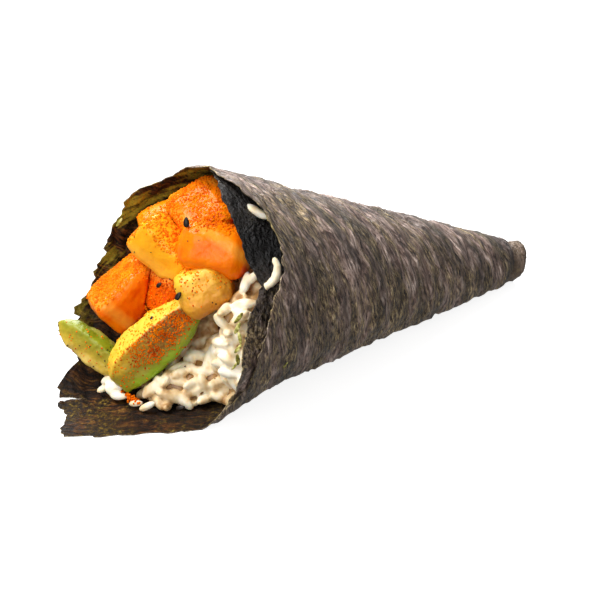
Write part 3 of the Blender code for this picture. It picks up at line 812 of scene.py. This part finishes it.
def lay_grains(name, spots, finish, **inputs):
    """One mesh from (point, rotation, size, shade) spots, with the tree's inputs by name and lengths in metres."""
    mesh = bpy.data.meshes.new(name)
    mesh.from_pydata([s[0] for s in spots], [], [])
    turned = mesh.attributes.new("turned", "FLOAT_VECTOR", "POINT")
    turned.data.foreach_set("vector", [x for s in spots for x in s[1].to_euler("XYZ")])
    grown = mesh.attributes.new("grown", "FLOAT_VECTOR", "POINT")
    grown.data.foreach_set("vector", [x for s in spots for x in s[2]])
    shade = mesh.attributes.new("shade", "FLOAT", "POINT")
    shade.data.foreach_set("value", [s[3] for s in spots])
    thing = link(name, mesh)
    modifier = thing.modifiers.new("grains", "NODES")
    modifier.node_group = grains
    for key, value in inputs.items():
        modifier[grain_sockets[key.replace("_", " ")]] = value
    modifier[grain_sockets["Finish"]] = finish
    return baked(thing)


def stuck_together(thing, spots, finish):
    """Grains joined where they touch, as cooked rice is, each part keeping the shade of its nearest grain, with painted
    shade low down between the grains.
    """
    joined = thing.modifiers.new("joined", "REMESH")
    joined.mode = "VOXEL"
    joined.voxel_size = GRAIN_VOXEL * MM
    softer = thing.modifiers.new("softer", "SMOOTH")
    softer.factor = 0.5
    softer.iterations = 1
    fewer = thing.modifiers.new("fewer", "DECIMATE")
    fewer.ratio = GRAIN_FACES
    baked(thing)
    nearest = KDTree(3 * len(spots))
    for i, (at, turned, size, _) in enumerate(spots):
        for k in range(3):
            along = turned @ Vector((0.0, 0.0, (k - 1) * 0.33 * size.z * GRAIN_SIZE[2] * MM))
            nearest.insert(at + along, 3 * i + k)
    nearest.balance()
    ground = tree_of(core)
    shades = []
    for v in thing.data.vertices:
        height = ground.find_nearest(v.co)[3] / MM
        shades.append(spots[nearest.find(v.co)[1] // 3][3] - CREVICE_SHADE * (1.0 - ramp(height, *CREVICE_SHADE_TO)))
    thing.data.attributes.new("shade", "FLOAT", "POINT").data.foreach_set("value", shades)
    thing.data.materials.clear()
    thing.data.materials.append(finish)
    thing.data.shade_smooth()


rng = np.random.default_rng(4)
rice_finish = rice_flesh("cooked_rice", (
    (0.46, "#ad8250"), (0.6, "#e0c190"), (0.74, "#f3e0ba"), (0.95, "#fdf3df"),
), 0.3)
# The core between the grains is painted dark tan, as shade between them.
shaded_finish = rice_flesh("cooked_rice_painted_shade_between_grains", ((0.3, "#7a5428"), (0.6, "#ac8450")), 0.3)
core = flesh("rice_core", "rice", 0.9, -RICE_SHRINK, RICE_RELIEF)
core.data.materials.append(shaded_finish)
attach(core, "root")
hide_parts("rice")

sheet_search = tree_of(sheet)
filling_searches = [tree_of(piece) for piece in (*salmon.values(), *avocado.values())]


def clear_of(point, reachable, searches):
    """True if no surface comes within reach of the point, in millimetres."""
    return all(search.find_nearest(point, reachable * MM)[0] is None for search in searches)


def fits(point, along, size):
    """True if a grain laid here stays clear of the sheet and the filling."""
    for share in (-0.38, 0.0, 0.38):
        spot = point + along * share * GRAIN_SIZE[2] * size[2] * MM
        if not clear_of(spot, 0.85, (sheet_search, *filling_searches)):
            return False
    start = point - along * 0.4 * GRAIN_SIZE[2] * MM
    return all(
        search.ray_cast(start, along, 0.8 * GRAIN_SIZE[2] * MM)[0] is None
        for search in (sheet_search, *filling_searches)
    )


def grain_shade(offset):
    """How pale a grain is: painted light and shade from its place in the heap, and by chance."""
    placed = through(HEAP_LIGHT_AND_SHADE, offset.dot(UP)) * ramp(offset.dot(OUT), *DEEP)
    return 0.12 + 0.56 * placed + 0.3 * rng.random() * ramp(offset.dot(OUT), *DEEP)


spots = []
for point, normal in spread_out(sample_surface(core.data, 60000, rng), 0.5 * GRAIN_SPACING * MM):
    if (point / MM - apex).dot(OUT) < GRAIN_FROM:
        continue
    for _ in range(4):
        wander = Vector(rng.normal(size=3))
        along = (wander - normal * wander.dot(normal)).normalized()
        along = (along + normal * rng.normal() * 0.25).normalized()
        size = Vector((rng.uniform(0.88, 1.12), rng.uniform(0.88, 1.12), rng.uniform(0.82, 1.12)))
        seat = point + normal * rng.uniform(-0.5, 1.0) * MM
        if fits(seat, along, size):
            spots.append((seat, along, normal, size))
            break
spots = spread_out(spots, GRAIN_SPACING * MM)
spots = [
    (p, facing(a, n), s, grain_shade(p / MM - apex)) for p, a, n, s in spots
]
for at, along, looks, size, longer in LOOSE_GRAINS:
    grown = Vector((size, size, size * longer))
    spots.append((place(*at) * MM, facing(direction(*along), direction(*looks)), grown, 0.7))
rice_grains = lay_grains(
    "rice_grains", spots, rice_finish, Width=GRAIN_SIZE[0] * MM, Thickness=GRAIN_SIZE[1] * MM,
    Length=GRAIN_SIZE[2] * MM, Sides=12, Rings=9, Bend=0.25, Taper=0.2, Unevenness=0.8 * MM, Lump_Size=3.0 * MM,
)
stuck_together(rice_grains, spots, rice_finish)
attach(rice_grains, "root")


# ---------------------------------------------------------------------------------------------------------------
# The dusting: orange crumbs of dried spice and fish roe, so thick on the cut salmon that they nearly hide it, and
# finer on the middle slice of avocado. They stick to whatever faces up, each a small rounded crumb of its own.
ROE_CRUMB, SPICE_CRUMB = 0.66, 0.5
# piece, side it lies on (near, up, out), the least and the full facing, crumbs a mm², darkest and palest
ROE_COATINGS = (
    (salmon["salmon_piece_top"], (0.2, 0.7, 0.7), (-0.2, 0.3), 5.0, (0.3, 0.85)),
    (salmon["salmon_piece_back"], (0.2, 0.7, 0.7), (0.3, 0.8), 1.0, (0.4, 0.9)),
    (salmon["salmon_slab_middle"], (0.45, 0.85, 0.05), (0.1, 0.5), 5.0, (0.35, 0.9)),
    (salmon["salmon_slab_middle"], (-0.8, 0.5, 0.3), (0.3, 0.7), 4.0, (0.4, 0.95)),
    (salmon["salmon_cube_mouth"], (-0.6, 0.75, 0.3), (0.3, 0.6), 5.0, (0.35, 0.85)),
    (salmon["salmon_cube_mouth"], (0.2, 0.95, -0.2), (0.3, 0.6), 5.0, (0.3, 0.8)),
    (salmon["salmon_piece_inner"], (0.5, 0.6, 0.6), (0.0, 0.5), 3.5, (0.1, 0.6)),
    (salmon["salmon_piece_right"], (-0.1, 1.0, 0.1), (0.6, 0.95), 3.0, (0.1, 0.75)),
)
SPICE_COATINGS = (
    (avocado["avocado_slice_middle"], SPICED_TOWARDS, (0.35, 0.8), 9.0, (0.1, 0.7)),
    (avocado["avocado_slice_middle"], (-0.15, 0.56, 0.815), (0.3, 0.8), 2.6, (0.5, 1.0)),
    (avocado["avocado_chunk"], (0.3, 0.9, 0.3), (0.2, 0.9), 1.2, (0.2, 0.9)),
    (avocado["avocado_slice_mouth"], (0.5, 0.3, 0.8), (0.0, 0.6), 0.3, (0.1, 0.6)),
)
SPILLED, SPILLED_ROUND, SPILLED_COUNT = (-2.6, -28.3, 131.1), (3.4, 0.7, 1.2), 60  # crumbs under the middle slice


def crumb_skin(name):
    """Roe and dried spice: from deep red-brown to golden by the attribute "shade", slightly glossy."""
    made, tree = new_material(name)
    shade = add_node(tree, "ShaderNodeAttribute", attribute_name="shade")
    tone = add_node(tree, "ShaderNodeValToRGB", {"Fac": shade.outputs["Fac"]}, stops=(
        (0.0, "#8a2c03"), (0.2, "#bd4402"), (0.42, "#e46302"), (0.65, "#f27d04"), (0.85, "#f8930c"), (1.0, "#fbad20"),
    ))
    shader = add_node(tree, "ShaderNodeBsdfPrincipled", {
        "Base Color": tone.outputs["Color"], "Roughness": 0.6, "Specular IOR Level": 0.06,
        "Subsurface Weight": 0.2, "Subsurface Radius": (1.0, 0.5, 0.15), "Subsurface Scale": 0.4 * MM,
    })
    add_node(tree, "ShaderNodeOutputMaterial", {"Surface": shader.outputs[0]})
    return made


def strewn(coatings, cover, sink, fades=None):
    """Crumb spots on the sides that the coatings name, patchy, sunk a little into the surface."""
    crumbs = []
    for piece, side, (least, full), thick, (dark, pale) in coatings:
        towards = direction(*side)
        area = sum(p.area for p in piece.data.polygons) / MM**2
        for point, normal in sample_surface(piece.data, int(area * thick), rng):
            patchy = cover + 1.4 * noise.noise(point / (2.6 * MM))
            if fades:
                patchy *= fades(piece, point)
            if rng.random() > ramp(normal.dot(towards), least, full) * patchy:
                continue
            size = Vector([rng.uniform(0.55, 1.25) for _ in range(3)])
            tint = 0.55 + 0.7 * noise.noise(point / (2.2 * MM)) + rng.normal() * 0.12
            turned = facing(Vector(rng.normal(size=3)), Vector(rng.normal(size=3)))
            seat = point - normal * rng.uniform(0.0, sink) * MM
            crumbs.append((seat, turned, size, dark + (pale - dark) * min(max(tint, 0.0), 1.0)))
    return crumbs


def down_the_slice(piece, point):
    """The spice on the middle slice thins out towards its lower end and its skin."""
    if piece is not avocado["avocado_slice_middle"]:
        return 1.0
    middle, along, skin, depth = AVOCADO_SLICES["avocado_slice_middle"]
    offset = point / MM - place(*middle)
    lengthwise = ramp(offset.dot(direction(*along)), -10.0, 4.0)
    return (0.12 + 0.88 * lengthwise) * (1.0 - 0.95 * ramp(offset.dot(direction(*skin)) / depth, *SPICE_ENDS))


roe = strewn(ROE_COATINGS, 1.05, 0.15)
roe_crumbs = lay_grains(
    "roe_crumbs", roe, crumb_skin("orange_roe_crumb"), Width=ROE_CRUMB * MM, Thickness=ROE_CRUMB * MM,
    Length=ROE_CRUMB * MM, Sides=5, Rings=4, Unevenness=0.25 * MM, Lump_Size=0.5 * MM,
)
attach(roe_crumbs, "root")
spice = strewn(SPICE_COATINGS, 0.8, 0.1, down_the_slice)
for _ in range(SPILLED_COUNT):
    near, up, out = (at + spread * rng.normal() * 0.5 for at, spread in zip(SPILLED, SPILLED_ROUND))
    turned = facing(Vector(rng.normal(size=3)), Vector(rng.normal(size=3)))
    spice.append((place(near, up, out) * MM, turned, Vector([rng.uniform(0.7, 1.7) for _ in range(3)]), 0.5))
spice_crumbs = lay_grains(
    "spice_crumbs", spice, crumb_skin("orange_spice_crumb"), Width=SPICE_CRUMB * MM, Thickness=SPICE_CRUMB * MM,
    Length=SPICE_CRUMB * MM, Sides=5, Rings=4, Unevenness=0.2 * MM, Lump_Size=0.4 * MM,
)
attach(spice_crumbs, "root")


# ---------------------------------------------------------------------------------------------------------------
# The seeds: black sesame, flat drop-shaped seeds a few millimetres long, and dark specks of ground pepper.
# place, way its length runs, way its broad side looks, size
SEEDS = (
    ((-0.3, 15.9, 125.6), (-0.3, 0.95, 0.0), (0.6, 0.3, 0.75), 0.95),
    ((-2.4, -9.0, 128.9), (-0.3, 0.9, 0.3), (0.5, 0.4, 0.75), 0.95),
    ((-6.4, -1.8, 125.8), (0.5, 0.8, -0.3), (0.5, 0.1, 0.85), 0.65),
    ((3.7, -0.5, 127.5), (0.2, 0.9, -0.3), (0.4, 0.1, 0.9), 0.85),
    ((7.4, -27.2, 124.3), (0.7, 0.5, -0.5), (0.6, 0.3, 0.75), 0.9),
)
SPECK = 0.32
SPECK_COUNTS = ((core, 24), (avocado["avocado_slice_mouth"], 7), (avocado["avocado_chunk"], 5),
                (salmon["salmon_slab_middle"], 6), (salmon["salmon_piece_right"], 6))


def seed_skin(name, colour, rough):
    """A dark seed's skin, dull with a faint gloss."""
    made, tree = new_material(name)
    shader = add_node(tree, "ShaderNodeBsdfPrincipled", {
        "Base Color": linear(colour), "Roughness": rough, "Specular IOR Level": 0.3,
    })
    add_node(tree, "ShaderNodeOutputMaterial", {"Surface": shader.outputs[0]})
    return made


seeds = [
    (place(*at) * MM, facing(direction(*along), direction(*looks)), Vector((size,) * 3), 0.5)
    for at, along, looks, size in SEEDS
]
sesame = lay_grains(
    "sesame_seeds", seeds, seed_skin("black_sesame", "#1c120b", 0.4), Width=1.5 * MM, Thickness=0.9 * MM,
    Length=2.6 * MM, Sides=14, Rings=10, Bend=0.0, Taper=0.5, Unevenness=0.15 * MM, Lump_Size=1.0 * MM,
)
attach(sesame, "root")
specks = []
for piece, count in SPECK_COUNTS:
    for point, normal in sample_surface(piece.data, count * 4, rng):
        if normal.dot(direction(0.5, 0.4, 0.75)) > 0.2 and (point / MM - apex).dot(OUT) > 110.0:
            turned = facing(Vector(rng.normal(size=3)), normal)
            lift = RICE_SHRINK + 0.6 if piece is core else 0.1
            size = Vector([rng.uniform(0.6, 1.4) for _ in range(3)])
            specks.append((point + normal * lift * MM, turned, size, 0.5))
pepper = lay_grains(
    "pepper_specks", specks, seed_skin("ground_pepper", "#2a1608", 0.5), Width=SPECK * MM, Thickness=SPECK * MM,
    Length=SPECK * MM, Sides=6, Rings=4, Unevenness=0.15 * MM, Lump_Size=0.4 * MM,
)
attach(pepper, "root")


# ---------------------------------------------------------------------------------------------------------------
# The scraps: bits of nori torn off the rim, thin enough for light to turn them yellow-green, caught on the rice.
# place, way its length runs, way its broad side looks, size
SCRAPS = (
    ((17.0, -1.3, 119.6), (0.3, 0.9, -0.3), (0.8, 0.0, 0.6), 0.9),
    ((17.7, -3.4, 120.0), (0.1, 0.95, -0.2), (0.7, 0.3, 0.6), 0.85),
    ((18.8, -5.4, 119.8), (-0.3, 0.9, 0.2), (0.8, 0.1, 0.5), 0.8),
    ((19.4, -7.8, 120.3), (0.3, 0.9, -0.3), (0.6, 0.4, 0.7), 0.75),
    ((20.2, -10.1, 120.4), (0.0, 0.95, 0.3), (0.9, 0.1, 0.4), 0.85),
    ((20.2, -11.7, 121.0), (0.3, 0.9, -0.3), (0.7, 0.2, 0.6), 0.6),
    ((19.5, -2.9, 117.9), (0.1, 0.9, 0.2), (0.8, 0.3, 0.4), 0.8),
    ((25.0, -10.4, 110.2), (0.3, 0.9, -0.3), (0.95, -0.28, 0.0), 0.55),
    ((-28.2, 5.6, 123.9), (0.3, 0.9, -0.3), (0.7, 0.0, 0.7), 0.7),
)


def scrap_skin():
    """A thin bit of nori: yellow-green where light comes through."""
    made, tree = new_material("thin_nori_scrap")
    spot = add_node(tree, "ShaderNodeTexCoord").outputs["Object"]
    cloud = add_node(tree, "ShaderNodeTexNoise", {"Vector": spot, "Scale": 1 / (0.8 * MM), "Detail": 3.0})
    tone = add_node(tree, "ShaderNodeValToRGB", {"Fac": cloud.outputs["Fac"]}, stops=(
        (0.35, "#5c5518"), (0.5, "#a9a341"), (0.65, "#e2dc8c"),
    ))
    shader = add_node(tree, "ShaderNodeBsdfPrincipled", {"Base Color": tone.outputs["Color"], "Roughness": 0.45})
    add_node(tree, "ShaderNodeOutputMaterial", {"Surface": shader.outputs[0]})
    return made


scraps = [
    (place(*at) * MM, facing(direction(*along), direction(*looks)), Vector((size,) * 3), 0.5)
    for at, along, looks, size in SCRAPS
]
nori_scraps = lay_grains(
    "nori_scraps", scraps, scrap_skin(), Width=1.1 * MM, Thickness=0.25 * MM, Length=3.6 * MM, Sides=12, Rings=8,
    Bend=0.5, Unevenness=0.35 * MM, Lump_Size=1.2 * MM,
)
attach(nori_scraps, "root")


# ---------------------------------------------------------------------------------------------------------------
# The studio: a white table and backdrop in one, a large soft light overhead, and a long lens from the near left.
CAMERA_AT = Vector((-0.3087, -0.42385, 0.2880))
CAMERA_AIM = Vector((0.52035, 0.71731, -0.46335))
CAMERA_ROLL = -1.03
CAMERA_LENS = 147.6

floor_mesh = bpy.data.meshes.new("floor")
floor_mesh.from_pydata([(-3, -3, 0), (3, -3, 0), (3, 3, 0), (-3, 3, 0)], [], [(0, 1, 2, 3)])
floor = link("floor", floor_mesh)
white, tree = new_material("matt_white_table")
shader = add_node(tree, "ShaderNodeBsdfPrincipled", {
    "Base Color": (0.4, 0.4, 0.4, 1.0), "Roughness": 0.9,
    "Emission Color": (1.0, 1.0, 1.0, 1.0), "Emission Strength": 0.85,
})
add_node(tree, "ShaderNodeOutputMaterial", {"Surface": shader.outputs[0]})
floor_mesh.materials.append(white)
floor.visible_diffuse = floor.visible_glossy = False  # it glows, and would light the lower side too much

for name, at, size, power in (
    ("overhead", (-0.34, 0.16, 0.75), 0.5, 8.0),
    ("left", (-0.75, -0.45, 0.4), 0.6, 4.0),
    ("behind", (0.4, 0.75, 0.5), 0.7, 11.0),
):
    lamp = bpy.data.lights.new(name, "AREA")
    lamp.shape = "SQUARE"
    lamp.size = size
    lamp.energy = power
    holder = link(name, lamp)
    holder.location = at
    holder.rotation_mode = "QUATERNION"
    holder.rotation_quaternion = Vector(at).to_track_quat("Z", "Y")

world = bpy.data.worlds.new("studio")
world.use_nodes = True
world.node_tree.nodes["Background"].inputs["Color"].default_value = (1.0, 1.0, 1.0, 1.0)
world.node_tree.nodes["Background"].inputs["Strength"].default_value = 0.36
bpy.context.scene.world = world
bpy.context.scene.view_settings.view_transform = "Standard"

lens = bpy.data.cameras.new("camera")
lens.lens = CAMERA_LENS
lens.clip_start = 0.01
camera = link("camera", lens)
camera.rotation_mode = "QUATERNION"
camera.location = CAMERA_AT
roll = Matrix.Rotation(math.radians(CAMERA_ROLL), 4, "Z")
camera.rotation_quaternion = (CAMERA_AIM.to_track_quat("-Z", "Y").to_matrix().to_4x4() @ roll).to_quaternion()
bpy.context.scene.camera = camera
